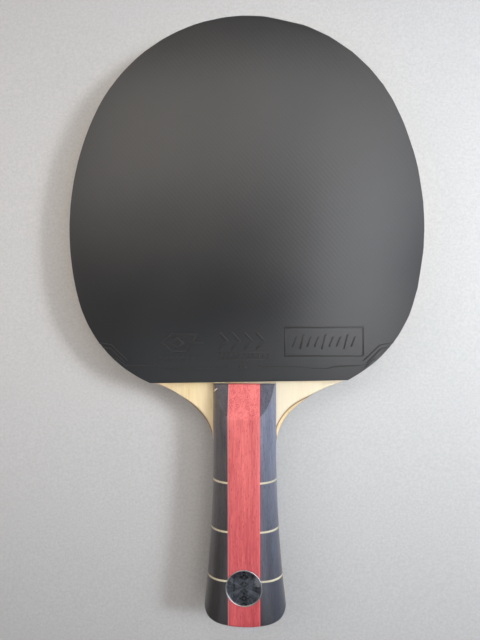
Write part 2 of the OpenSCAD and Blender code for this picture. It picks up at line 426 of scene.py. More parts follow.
def rubber(name, colour, light_patch, roughness):
    """Tacky inverted rubber: a soft, cloudy sheen, with the pimples showing faintly through."""
    made, tree, shader, place = material(name)
    cloud = clouds(tree, place, 0.03, 3.0)
    fine = clouds(tree, place, 3.2, 3.0)
    dust = use(tree, specks, Place=place, Spacing=8.0, Share=0.16)
    tone = blend(tree, span(tree, cloud.outputs["Fac"], 0.35, 0.7), colour, light_patch)
    feed(tree, blend(tree, dust.outputs[0], tone, (0.42, 0.42, 0.42)), shader.inputs["Base Color"])
    rough = maths(tree, "MULTIPLY_ADD", cloud.outputs["Fac"], 0.08, roughness - 0.04)
    rough = maths(tree, "MULTIPLY_ADD", fine.outputs["Fac"], 0.06, rough)
    feed(tree, maths(tree, "ADD", rough, times(tree, dust.outputs[0], 0.4)), shader.inputs["Roughness"])
    dimples = use(tree, pimple_print, Place=place)
    height = maths(tree, "MULTIPLY_ADD", fine.outputs["Fac"], 0.10, dimples.outputs[0])
    bump(tree, shader, height, 0.016)
    shader.inputs["Specular IOR Level"].default_value = 0.83
    return made


def dyed_wood(name, dark, light, pore_colour, border, seam, painted_side_light, painted_light_along, roughness, fibre, spacing, share,
              coat, dull):
    """Dyed veneer under a satin lacquer, with its pores open, a seam at the middle strip and a sanded nose.

    The side pair multiplies the dye with painted light on the left and the right side, a warm shade on the
    left and a cool sheen on the right; the lengthwise pair multiplies it with painted light, darker at the
    butt and brighter at the front.
    dull is how far the nose is darkened.
    """
    made, tree, shader, place = material(name)
    grain = use(tree, wood_grain, Place=place, Fibre=fibre, Band=0.3, Pore_Spacing=spacing, Pore_Length=6.0,
                Pore_Share=share)
    zones = use(tree, handle_zones, Place=place)
    mix = times(tree, grain.outputs["Fibre"], 0.65)
    mix = maths(tree, "MULTIPLY_ADD", grain.outputs["Band"], 0.45, mix)
    tone = blend(tree, span(tree, mix, 0.38, 0.74), dark, light)
    # Painted light: a warm, darker shade on the left side and a cool, brighter sheen on the right, where the
    # light comes from
    tone = blend(tree, 1.0, tone, blend(tree, zones.outputs["Right"], *painted_side_light), "MULTIPLY")
    # Painted light: darker towards the butt and brighter towards the front
    tone = blend(tree, 1.0, tone, blend(tree, zones.outputs["Fade"], *painted_light_along), "MULTIPLY")
    tone = blend(tree, times(tree, grain.outputs["Pore"], 0.8), tone, pore_colour)
    tone = blend(tree, times(tree, zones.outputs["Border"], 0.3), tone, border)
    tone = blend(tree, times(tree, zones.outputs["Seam"], 0.8), tone, seam)
    # Sanding across the nose leaves it mottled
    mottle = clouds(tree, place, 2.4, 3.0, 0.7)
    pale = times(tree, span(tree, mottle.outputs["Fac"], 0.45, 0.7), zones.outputs["Nose"])
    tone = blend(tree, times(tree, pale, 0.35), tone, tuple(min(1, 1.7 * c) for c in light))
    tone = blend(tree, times(tree, zones.outputs["Nose"], dull), tone, pore_colour)
    # Painted shade: the last half millimetre of the handle's front is darkened nearly to the pore colour,
    # where the front face lies in shade
    tone = blend(tree, times(tree, zones.outputs["Front"], 0.75), tone, pore_colour)
    dust = use(tree, specks, Place=place, Spacing=3.5, Share=0.18)
    tone = blend(tree, times(tree, dust.outputs[0], 0.5), tone, (0.5, 0.5, 0.5))
    feed(tree, blend(tree, zones.outputs["Chip"], tone, (0.62, 0.54, 0.42)), shader.inputs["Base Color"])
    rough = maths(tree, "MULTIPLY_ADD", grain.outputs["Fibre"], 0.25, roughness - 0.12)
    rough = maths(tree, "MULTIPLY_ADD", zones.outputs["Nose"], 0.16, rough)
    feed(tree, maths(tree, "MULTIPLY_ADD", grain.outputs["Pore"], 0.3, rough), shader.inputs["Roughness"])
    bump(tree, shader, grain.outputs["Height"], 0.05)
    feed(tree, span(tree, zones.outputs["Nose"], 0, 1, coat, 0.25 * coat), shader.inputs["Coat Weight"])
    shader.inputs["Coat Roughness"].default_value = 0.36
    return made


def veneer(name, dark, light, pore_colour, roughness, turned=False, coat=0.0, painted_right_sheen=0.0):
    """Bare or thinly lacquered plywood veneer. Its grain runs along Y, or along X when it is turned."""
    made, tree, shader, place = material(name)
    if turned:
        place = mapped(tree, place, Rotation=(0, 0, math.pi / 2))
    grain = use(tree, wood_grain, Place=place, Fibre=1.6, Band=0.16, Pore_Spacing=1.1, Pore_Length=9.0,
                Pore_Share=0.45)
    mix = times(tree, grain.outputs["Fibre"], 0.45)
    mix = maths(tree, "MULTIPLY_ADD", grain.outputs["Band"], 0.6, mix)
    tone = blend(tree, span(tree, mix, 0.34, 0.74), dark, light)
    tone = blend(tree, times(tree, grain.outputs["Pore"], 0.55), tone, pore_colour)
    if painted_right_sheen:
        # Painted sheen: the right side is mixed toward a pale cool grey, where the cool light from the right
        # is reflected
        zones = use(tree, handle_zones, Place=place)
        tone = blend(tree, times(tree, zones.outputs["Right"], painted_right_sheen), tone, (0.68, 0.69, 0.67))
    feed(tree, tone, shader.inputs["Base Color"])
    rough = maths(tree, "MULTIPLY_ADD", grain.outputs["Fibre"], 0.2, roughness - 0.1)
    feed(tree, rough, shader.inputs["Roughness"])
    bump(tree, shader, grain.outputs["Height"], 0.03)
    shader.inputs["Coat Weight"].default_value = coat
    shader.inputs["Coat Roughness"].default_value = 0.3
    return made


def foam(name):
    """Fine open-celled sponge, cut clean."""
    made, tree, shader, place = material(name)
    cells = round_cells(tree, place, 4.2)
    small = round_cells(tree, place, 9.0)
    cloud = clouds(tree, place, 0.12, 2.0)
    hole = span(tree, cells.outputs["Distance"], 0.05, 0.4, 1.0, 0.0, smooth=True)
    pin = span(tree, small.outputs["Distance"], 0.05, 0.35, 1.0, 0.0, smooth=True)
    holes = maths(tree, "MAXIMUM", hole, times(tree, pin, 0.6))
    tone = blend(tree, cloud.outputs["Fac"], (0.80, 0.68, 0.30), (0.88, 0.80, 0.46))
    # Painted shade: the cells' holes are darkened toward brown, besides being pressed in by the bump
    tone = blend(tree, times(tree, holes, 0.6), tone, (0.46, 0.34, 0.10))
    feed(tree, tone, shader.inputs["Base Color"])
    shader.inputs["Roughness"].default_value = 0.9
    bump(tree, shader, times(tree, holes, -1.0), 0.12)
    return made


black_rubber = rubber("black rubber", (0.0125, 0.0125, 0.013), (0.0185, 0.018, 0.0178), 0.27)
red_rubber = rubber("red rubber", (0.46, 0.018, 0.016), (0.56, 0.030, 0.024), 0.27)
sponge_foam = foam("cream sponge")
# The red strip's lengthwise colours are painted light, darker at the butt
red_wood = dyed_wood(
    "red dyed wood", dark=(0.50, 0.052, 0.056), light=(0.86, 0.180, 0.168), pore_colour=(0.26, 0.012, 0.016),
    border=(0.95, 0.30, 0.28), seam=(0.30, 0.03, 0.05), painted_side_light=((1, 1, 1), (1, 1, 1)),
    painted_light_along=((0.74, 0.61, 0.71), (0.86, 1.03, 1.0)), roughness=0.55, fibre=2.6, spacing=0.42, share=0.65,
    coat=0.3, dull=0.0)
# The slate's side and lengthwise colours are painted light and shade
slate_wood = dyed_wood(
    "slate dyed wood", dark=(0.030, 0.029, 0.032), light=(0.092, 0.088, 0.094),
    pore_colour=(0.010, 0.009, 0.011), border=(0.05, 0.045, 0.055), seam=(0.035, 0.018, 0.028),
    painted_side_light=((0.92, 0.79, 0.75), (1.08, 1.17, 1.47)), painted_light_along=((0.34, 0.34, 0.34), (2.05, 2.1, 2.2)),
    roughness=0.46, fibre=2.4, spacing=0.5, share=0.5, coat=0.9, dull=0.5)
inlay_wood = veneer("inlay veneer", (0.50, 0.44, 0.28), (0.66, 0.60, 0.42), (0.34, 0.26, 0.14), 0.45,
                    coat=0.4)
# The face veneer's right side carries painted sheen
face_wood = veneer("face veneer", (0.64, 0.475, 0.24), (0.74, 0.62, 0.405), (0.48, 0.32, 0.13), 0.45,
                   coat=0.8, painted_right_sheen=0.3)
inner_wood = veneer("inner veneer", (0.68, 0.50, 0.26), (0.80, 0.65, 0.38), (0.45, 0.28, 0.12), 0.65)
core_wood = veneer("core veneer", (0.60, 0.43, 0.24), (0.72, 0.56, 0.34), (0.36, 0.22, 0.1), 0.7)
cross_wood = veneer("crosswise veneer", (0.26, 0.13, 0.05), (0.38, 0.21, 0.09), (0.12, 0.05, 0.02), 0.7,
                    turned=True)


def bright_metal():
    """Polished nickel with fine turning marks and a little tarnish."""
    made, tree, shader, place = material("nickel")
    shader.inputs["Metallic"].default_value = 1.0
    haze = clouds(tree, place, 0.9, 3.0)
    tone = blend(tree, haze.outputs["Fac"], (0.62, 0.61, 0.60), (0.80, 0.80, 0.81))
    feed(tree, tone, shader.inputs["Base Color"])
    feed(tree, span(tree, haze.outputs["Fac"], 0.3, 0.7, 0.12, 0.26), shader.inputs["Roughness"])
    return made


def printed_disc():
    """Dark foil printed in black with a column of lozenges, a broken bar and some slanting dashes."""
    made, tree, shader, place = material("printed foil")
    x, y, _ = parts_of(tree, "XYZ", mapped(tree, place, Location=(0, -badge_y, 0)))

    def within(value, middle, half):
        return maths(tree, "LESS_THAN", maths(tree, "ABSOLUTE", maths(tree, "SUBTRACT", value, middle)), half)

    def part_of(value, step, share):
        """The first share of every step."""
        return maths(tree, "LESS_THAN", maths(tree, "FLOORED_MODULO", value, step), step * share)

    LOZENGE_STEP = 2.9
    up_column = maths(tree, "SUBTRACT", maths(tree, "FLOORED_MODULO", y, LOZENGE_STEP), LOZENGE_STEP / 2)
    across, up = maths(tree, "ABSOLUTE", x), maths(tree, "ABSOLUTE", up_column)
    from_middle = maths(tree, "MULTIPLY_ADD", across, 0.7, up)
    inside = maths(tree, "LESS_THAN", from_middle, 1.42)
    lozenges = times(tree, inside, maths(tree, "GREATER_THAN", from_middle, 0.4))
    pieces_of_bar = times(tree, within(y, 0.2, 4.3), part_of(y, 1.9, 0.8))
    bar_left = times(tree, within(x, -4.1, 0.5), pieces_of_bar)
    slant = part_of(maths(tree, "MULTIPLY_ADD", x, 0.55, y), 1.15, 0.5)
    dashes = times(tree, within(x, 4.4, 1.0), times(tree, within(y, -0.6, 2.3), slant))
    ink = maths(tree, "MAXIMUM", lozenges, maths(tree, "MAXIMUM", bar_left, dashes))
    cloud = span(tree, clouds(tree, place, 0.35, 3.0).outputs["Fac"], 0.35, 0.65)
    foil = blend(tree, cloud, (0.042, 0.044, 0.058), (0.095, 0.10, 0.125))
    feed(tree, blend(tree, ink, foil, (0.006, 0.006, 0.008)), shader.inputs["Base Color"])
    shader.inputs["Metallic"].default_value = 0.35
    feed(tree, span(tree, ink, 0, 1, 0.42, 0.55), shader.inputs["Roughness"])
    return made


def clear_resin():
    """The badge's clear lens, a little uneven in its gloss."""
    made, tree, shader, place = material("clear resin")
    shader.inputs["Base Color"].default_value = (0.93, 0.96, 1.0, 1)
    shader.inputs["Transmission Weight"].default_value = 1.0
    shader.inputs["IOR"].default_value = 1.48
    haze = clouds(tree, place, 0.5, 3.0)
    feed(tree, span(tree, haze.outputs["Fac"], 0.4, 0.8, 0.02, 0.07), shader.inputs["Roughness"])
    return made


# ---------------------------------------------------------------- blade

# How far down the sanding goes, on the rim all round and on each wing
RIM_DEPTH = 0.5
CHAMFER = {"left": 1.25, "right": 2.6}
LEAST_DEPTH = 0.35


def sanded(x, y, z):
    """Where a point of a ply's edge ends up once the blade's rim is eased and its wings are sanded."""
    if y <= FLARE_Y + 0.01:
        return x, y
    p = Vector((abs(x), y))
    if y > wing_start.y:
        centre = tip_c if clock_of(p - tip_c) < TIP_SWEEP else side_c
        if clock_of(p - side_c) > TIP_SWEEP + SIDE_SWEEP:
            centre = low_c
        out = (p - centre).normalized()
        p -= out * (0.15 + 0.35 * max(0, (abs(z) - (blade_top - RIM_DEPTH)) / RIM_DEPTH) ** 2)
        return math.copysign(p.x, x), p.y
    out = ((neck_c if y < neck_start.y else wing_c) - p).normalized()
    depth = CHAMFER["right" if x > 0 else "left"] * smooth_step(FLARE_Y, FLARE_Y + 9, y)
    depth = max(LEAST_DEPTH, depth * smooth_step(wing_start.y, wing_start.y - 12, y))
    t = max(0, (abs(z) - (blade_top - depth)) / depth)
    p -= out * (0.95 * depth * t ** 1.1 + 0.15 * smooth_step(FLARE_Y, FLARE_Y + 4, y))
    return math.copysign(p.x, x), p.y


wing_start = low_c + LOW_R * clock(low_end)
neck_start = neck_c + NECK_R * clock(270 + NECK_SWEEP)


def blade_rim(bm):
    """The blade's whole outline, as a closed loop of edges."""
    end = head_half(bm, low_end)
    end = arc(bm, end, wing_c, (270 + NECK_SWEEP) - (low_end + 180), 22)
    end = arc(bm, end, neck_c, -NECK_SWEEP, 22)
    end = arc(bm, end, flare_c, flare_end - 90, 26)
    end = arc(bm, end, corner_c, butt_end - flare_end, 10)
    arc(bm, end, butt_c, 180 - butt_end, 8)
    mirror_x(bm)


def ply(name, low, high, finish, slot, cad_node):
    """One ply, with its edge sanded as far as the blade's shape goes at its level."""
    bm = bmesh.new()
    blade_rim(bm)
    for v in bm.verts:
        v.co.z = low
    bottom = bm.edges[:]
    top = bottom
    for step in range(1, PLY_STEPS + 1):
        grown = bmesh.ops.extrude_edge_only(bm, edges=top)["geom"]
        top = [g for g in grown if isinstance(g, bmesh.types.BMEdge) and g.is_boundary]
        for v in {v for e in top for v in e.verts}:
            v.co.z = low + (high - low) * step / PLY_STEPS
    for v in bm.verts:
        if abs(v.co.x) > 1e-4:
            v.co.x, v.co.y = sanded(*v.co)
    for rim in (bottom, top):
        bmesh.ops.contextual_create(bm, geom=rim)
    return piece(name, bm, finish, cad_node)


def levels(face, near, far):
    """Lowest and highest level of a layer, from its distances from the middle of the blade."""
    return (near, far) if face == "front" else (-far, -near)


PLY_STEPS = 5
LAYERS = (("inner", core_top, inner_top, inner_wood), ("cross", inner_top, cross_top, cross_wood),
          ("face", cross_top, blade_top, face_wood))
ply("blade_core", -core_top, core_top, core_wood, "core_ply_wood", "core_ply")
for face in FACES:
    for layer, near, far, finish in LAYERS:
        ply(f"{face}_{layer}_veneer", *levels(face, near, far), finish, f"{layer}_ply_wood",
            f"{face}_{layer}_ply")


# ---------------------------------------------------------------- rubbers

RUBBER_EDGE_Y, RUBBER_SLANT = -26.3, math.radians(1.1)
SHEET, SHEET_EASE = 0.75, 0.14
HUB_Y = 40


def knife_cuts(seed, right_step, left_step):
    """Angles round the head where one stroke of the knife ends and the next begins."""
    dice = random.Random(seed)
    angle, ends = -172.0, []
    while angle < 172:
        ends.append(angle)
        angle += dice.uniform(*(right_step if angle > 0 else left_step))
    return ends + [172.0]


def hand_cut(x, y, strokes):
    """How deep a straight stroke cuts at a point: its angle squared, tapered to nothing at its ends."""
    angle = math.degrees(math.atan2(x, y - HUB_Y))
    before = max([a for a in strokes if a <= angle], default=strokes[0])
    after = min([a for a in strokes if a > angle], default=strokes[-1])
    t = (angle - before) / max(after - before, 0.01)
    return 4 * t * (1 - t) * math.radians(after - before) ** 2


def rubber_rim(bm, strokes):
    """The rubber's outline: the head's, trimmed stroke by stroke and cut straight across its foot."""
    head_half(bm, 168)
    mirror_x(bm)
    bm.edges.new([v for v in bm.verts if len(v.link_edges) == 1])
    disc = bmesh.ops.contextual_create(bm, geom=bm.edges[:])["faces"]
    edge = Vector((0, RUBBER_EDGE_Y, 0))
    away = Vector((math.sin(RUBBER_SLANT), -math.cos(RUBBER_SLANT), 0))
    bmesh.ops.bisect_plane(bm, geom=bm.verts[:] + bm.edges[:] + disc, dist=0.001, plane_co=edge,
                           plane_no=away, clear_outer=True)
    for v in bm.verts:
        if (v.co - edge).dot(away) > -0.01:
            continue
        out = Vector((v.co.x, v.co.y - HUB_Y, 0))
        local_r = TIP_R if clock_of(Vector((abs(v.co.x), v.co.y)) - tip_c) < TIP_SWEEP else SIDE_R
        dent = hand_cut(v.co.x, v.co.y, strokes) * out.length ** 2 / (8 * local_r)
        ripple = 0.05 * noise.noise(v.co * 0.5)
        v.co -= out.normalized() * max(0, 0.8 * dent + 0.04 + ripple)


def slab(name, strokes, low, high, finish, slot, cad_node, eased):
    """A layer of rubber or sponge, trimmed to the blade by hand.

    eased rounds its upper rim, or its lower one where it is negative.
    """
    bm = bmesh.new()
    rubber_rim(bm, strokes)
    for v in bm.verts:
        v.co.z = low
    flat = bm.faces[:]
    grown = bmesh.ops.extrude_face_region(bm, geom=flat)["geom"]
    raised = [g for g in grown if isinstance(g, bmesh.types.BMVert)]
    bmesh.ops.translate(bm, vec=(0, 0, high - low), verts=raised)
    if eased:
        level = high if eased > 0 else low
        rim = [e for e in bm.edges if all(abs(v.co.z - level) < 1e-5 for v in e.verts)]
        bmesh.ops.bevel(bm, geom=rim, offset=abs(eased), offset_type="OFFSET", affect="EDGES", segments=2,
                        profile=0.5, material=-1)
    return piece(name, bm, finish, cad_node)


SKINS = (("front", black_rubber, "black_rubber", 5), ("back", red_rubber, "red_rubber", 12))
for face, skin, slot, seed in SKINS:
    strokes = knife_cuts(seed, (5.0, 13.0), (2.5, 6.0))
    slab(f"{face}_sponge_layer", strokes, *levels(face, blade_top, sponge_top), sponge_foam, "sponge",
         f"{face}_sponge", 0)
    slab(f"{face}_rubber_sheet", strokes, *levels(face, rubber_top - SHEET, rubber_top), skin, slot,
         f"{face}_topsheet", SHEET_EASE if face == "front" else -SHEET_EASE)


def inside_head(x, y, margin):
    """Whether a point is inside the rubber's outline by a margin."""
    p = Vector((abs(x), y))
    into = Vector((-math.sin(RUBBER_SLANT), math.cos(RUBBER_SLANT)))
    if Vector((x, y - RUBBER_EDGE_Y)).dot(into) < margin:
        return False
    if clock_of(p - tip_c) < TIP_SWEEP:
        return (p - tip_c).length < TIP_R - margin
    if clock_of(p - side_c) < TIP_SWEEP + SIDE_SWEEP:
        return (p - side_c).length < SIDE_R - margin
    return (p - low_c).length < LOW_R - margin


def copy_all(bm, step):
    """Adds a second copy of all of a mesh, a step away."""
    again = bmesh.ops.duplicate(bm, geom=bm.verts[:] + bm.faces[:])["geom"]
    bmesh.ops.translate(bm, vec=step, verts=[g for g in again if isinstance(g, bmesh.types.BMVert)])


def copy_in_steps(bm, step, count):
    """Repeats all of a mesh along a line by doubling it, until there are at least so many."""
    done = 1
    while done < count:
        copy_all(bm, Vector(step) * done)
        done *= 2


def pimples(name, base, tip, finish):
    """The rows of pimples between a topsheet's smooth skin and its sponge."""
    bm = bmesh.new()
    bmesh.ops.create_cone(bm, cap_ends=False, segments=6, radius1=0.62, radius2=0.52, depth=abs(tip - base),
                          matrix=Matrix.Translation((0, 0, (base + tip) / 2)))
    copy_all(bm, (ROW_STEP, PIMPLE_STEP / 2, 0))
    copy_in_steps(bm, (0, PIMPLE_STEP, 0), PIMPLES_IN_ROW)
    copy_in_steps(bm, (2 * ROW_STEP, 0, 0), PAIRS_OF_ROWS)
    bmesh.ops.translate(bm, vec=(-PAIRS_OF_ROWS * ROW_STEP, RUBBER_EDGE_Y, 0), verts=bm.verts[:])
    stray = [v for v in bm.verts if not inside_head(v.co.x, v.co.y, 0.7)]
    bmesh.ops.delete(bm, geom=list({f for v in stray for f in v.link_faces}), context="FACES")
    # What is left of a pimple that lost a face goes too
    torn = [v for v in bm.verts if len(v.link_faces) < 2]
    bmesh.ops.delete(bm, geom=torn, context="VERTS")
    return piece(name, bm, finish, angle=80)


PIMPLES_IN_ROW, PAIRS_OF_ROWS = 66, 37
pimples("front_pimples", sponge_top, rubber_top - SHEET, black_rubber)
pimples("back_pimples", -sponge_top, SHEET - rubber_top, red_rubber)


# ---------------------------------------------------------------- handle

def half_width(y):
    """Half the handle's width at a place along it."""
    if y > FLARE_Y:
        return NECK_HALF
    return NECK_HALF + FLARE_R - math.sqrt(FLARE_R ** 2 - (FLARE_Y - y) ** 2)


def crown(y):
    """Height of the handle's top at a place along it."""
    return CROWN_Z + (handle_front - y) * math.tan(CROWN_LEAN)


def on_section(u, y):
    """Sideways place and height at a station round a scale, from -1 at its left edge to 1 at its right."""
    low_angle = math.asin((blade_top - crown(y) + EDGE_R) / EDGE_R)
    turn = low_angle + (math.pi / 2 - low_angle) * min(1, (1 - abs(u)) / (1 - FLAT_SHARE))
    flat = half_width(y) - EDGE_R
    x = flat + EDGE_R * math.cos(turn) / math.cos(low_angle)
    if abs(u) < FLAT_SHARE:
        x = flat * abs(u) / FLAT_SHARE
    return math.copysign(x, u), crown(y) - EDGE_R + EDGE_R * math.sin(turn)


def butt_line(x):
    """Where the butt's plan lies at a distance from the axis."""
    x = abs(x)
    if x <= corner_c.x + CORNER_R * clock(butt_end).x:
        return butt_c.y - math.sqrt(BUTT_R ** 2 - x ** 2)
    return corner_c.y - math.sqrt(max(0, CORNER_R ** 2 - (x - corner_c.x) ** 2))


def butt_reach(u):
    """Where a line along the scale meets the butt."""
    low, high = butt_y - 1, butt_y + 12
    for _ in range(40):
        y = (low + high) / 2
        low, high = (y, high) if butt_line(on_section(u, y)[0]) > y else (low, y)
    return low


def scale_blank():
    """A whole wooden scale for the front, shaped and sanded, before it is cut into its pieces."""
    rows, stations = 64, 48
    ease_rows, wall_rows = 6, 5
    last = rows - ease_rows - wall_rows
    bm = bmesh.new()
    bmesh.ops.create_grid(bm, x_segments=stations, y_segments=rows, size=1)
    for v in bm.verts:
        u, row = v.co.x, round((v.co.y + 1) / 2 * rows)
        end = butt_reach(u)
        height = on_section(u, end)[1] - blade_top
        ease = min(BUTT_EASE, 0.8 * height)
        if row <= last:
            y = BLANK_Y + (end + ease - BLANK_Y) * row / last
            x, z = on_section(u, y)
        else:
            x, z = on_section(u, end)
            turn = math.pi / 2 * min(1, (row - last) / ease_rows)
            y = end + ease * (1 - math.sin(turn))
            z -= ease * (1 - math.cos(turn))
            if row > last + ease_rows:
                z -= (z - blade_top) * (row - last - ease_rows) / wall_rows
        v.co = x, y, z
    bmesh.ops.remove_doubles(bm, verts=bm.verts[:], dist=0.004)
    fill_holes(bm)
    bmesh.ops.recalc_face_normals(bm, faces=bm.faces[:])
    cut(bm, (0, handle_front, NOSE_Z), (0, math.sin(NOSE_SLOPE), math.cos(NOSE_SLOPE)))
    cut(bm, (0, handle_front, 0), (0, 1, 0))
    return bm


def without_pocket(made):
    """Cuts the badge's round pocket out of a piece of the handle."""
    tall = 20
    bm = bmesh.new()
    bmesh.ops.create_cone(bm, cap_ends=True, segments=96, radius1=pocket_r, radius2=pocket_r, depth=tall,
                          matrix=Matrix.Translation((0, badge_y, pocket_floor + tall / 2)))
    cutter = new_object("pocket_cutter", bm)
    carve = made.modifiers.new("pocket", "BOOLEAN")
    carve.operation = "DIFFERENCE"
    carve.solver = "EXACT"
    carve.object = cutter
    view = bpy.context.evaluated_depsgraph_get()
    carved = bpy.data.meshes.new_from_object(made.evaluated_get(view))
    made.modifiers.clear()
    made.data = carved
    bpy.data.objects.remove(cutter)
    bm = bmesh.new()
    bm.from_mesh(carved)
    soften(bm)
    bm.to_mesh(carved)
    bm.free()


pocket_floor = badge_low.z
badge_r = (badge_high.x - badge_low.x) / 2
pocket_r = badge_r + 0.05
# A cut this far out takes nothing away
FAR = 200
BLANK_Y = -20
blank = scale_blank()
PARTS = (("middle_strip", -strip_half, strip_half), ("left", -FAR, -strip_half), ("right", strip_half, FAR))
tops = [FAR] + [low for high, low in INLAYS]
bottoms = [high for high, low in INLAYS] + [-FAR]
for face in FACES:
    for part, left, right in PARTS:
        spans = [("strip", 0, FAR, -FAR)]
        if part != "middle_strip":
            spans = [("block", n + 1, tops[n], bottoms[n]) for n in range(4)]
            spans += [("inlay", n + 1, *INLAYS[n]) for n in range(3)]
        for kind, n, high, low in spans:
            bm = blank.copy()
            cut(bm, (right, 0, 0), (1, 0, 0))
            cut(bm, (left, 0, 0), (-1, 0, 0))
            cut(bm, (0, high, 0), (0, 1, 0))
            cut(bm, (0, low, 0), (0, -1, 0))
            if face == "back":
                flip_z(bm)
            side = f"{face}_{part}"
            if kind == "strip":
                made = piece(side, bm, red_wood, f"{face}_centre_strip")
            elif kind == "block":
                made = piece(f"{side}_scale_{n}", bm, slate_wood, f"{side}_block_{n}")
            else:
                made = piece(f"{side}_line_{n}", bm, inlay_wood, f"{side}_inlay_{n}")
            if face == "front" and low < badge_y + pocket_r and high > badge_y - pocket_r:
                without_pocket(made)
blank.free()


# ---------------------------------------------------------------- badge

def turned_part(bm, profile, level):
    """Turns a profile of (radius, height) points about the badge's axis."""
    verts = [bm.verts.new((r, 0, z)) for r, z in profile]
    edges = [bm.edges.new(pair) for pair in zip(verts, verts[1:])]
    bmesh.ops.spin(bm, geom=verts + edges, cent=(0, 0, 0), axis=(0, 0, 1), angle=2 * math.pi, steps=112,
                   use_merge=True, use_duplicate=False)
    bmesh.ops.remove_doubles(bm, verts=bm.verts[:], dist=0.001)
    lean = Matrix.Rotation(-CROWN_LEAN, 3, "X")
    bmesh.ops.rotate(bm, cent=(0, 0, 0), matrix=lean, verts=bm.verts[:])
    bmesh.ops.translate(bm, vec=(0, badge_y, level), verts=bm.verts[:])


# Thicknesses of the cup's rim, the cup's floor and the printed disc
RIM, FLOOR, PRINT = 0.62, 0.4, 0.2
level = pocket_floor + 0.05
rim_top = badge_high.z - pocket_floor - 0.1
lens_r = badge_r - RIM - 0.02

bm = bmesh.new()
turned_part(bm, [(0, 0), (badge_r - 0.15, 0), (badge_r, 0.15), (badge_r, rim_top - 0.3),
                 (badge_r - 0.09, rim_top - 0.1), (badge_r - 0.24, rim_top), (badge_r - 0.42, rim_top - 0.03),
                 (badge_r - 0.56, rim_top - 0.14), (badge_r - RIM, rim_top - 0.34), (badge_r - RIM, FLOOR),
                 (0, FLOOR)], level)
piece("badge_nickel_cup", bm, bright_metal(), "badge_cup", angle=50)

bm = bmesh.new()
turned_part(bm, [(0, FLOOR), (lens_r, FLOOR), (lens_r, FLOOR + PRINT), (0, FLOOR + PRINT)], level)
piece("badge_foil", bm, printed_disc(), "badge_print")

base, edge_z, rise = FLOOR + PRINT, rim_top - 0.45, 0.75
ball_r = (lens_r ** 2 + rise ** 2) / (2 * rise)
lens = [(0, base), (lens_r, base), (lens_r, edge_z)]
LENS_STEPS = 14
for k in range(1, LENS_STEPS + 1):
    r = lens_r * (1 - k / LENS_STEPS)
    lens.append((r, edge_z + math.sqrt(ball_r ** 2 - r ** 2) - (ball_r - rise)))
bm = bmesh.new()
turned_part(bm, lens, level)
piece("badge_lens", bm, clear_resin(), "badge_dome")


# ---------------------------------------------------------------- moulded marks

MARK_RISE = 0.36


def bar(bm, start, end, width=0.55, rise=MARK_RISE):
    """One raised stroke with rounded edges, from point to point."""
    start, end = Vector(start), Vector(end)
    along = end - start
    made = bmesh.ops.create_cube(bm, size=1)["verts"]
    bmesh.ops.scale(bm, vec=(along.length + width, width, rise + 0.1), verts=made)
    rim = [e for e in {e for v in made for e in v.link_edges} if all(v.co.z > 0 for v in e.verts)]
    eased = bmesh.ops.bevel(bm, geom=rim, offset=min(0.26, 0.46 * width), offset_type="OFFSET",
                            affect="EDGES", segments=3, profile=0.5, material=-1)
    made = list({v for f in eased["faces"] for v in f.verts} | {v for v in made if v.is_valid})
    middle = (start + end) / 2
    turn = Matrix.Rotation(math.atan2(along.y, along.x), 3, "Z")
    bmesh.ops.rotate(bm, cent=(0, 0, 0), matrix=turn, verts=made)
    bmesh.ops.translate(bm, vec=(middle.x, middle.y, rubber_top + (rise - 0.1) / 2), verts=made)


def strokes_through(bm, points, width=0.55):
    """Strokes from point to point. Neighbours differ a hair in height, so no two tops lie in one plane."""
    for n, (a, b) in enumerate(zip(points, points[1:])):
        bar(bm, a, b, width, MARK_RISE - 0.012 * (n % 2))


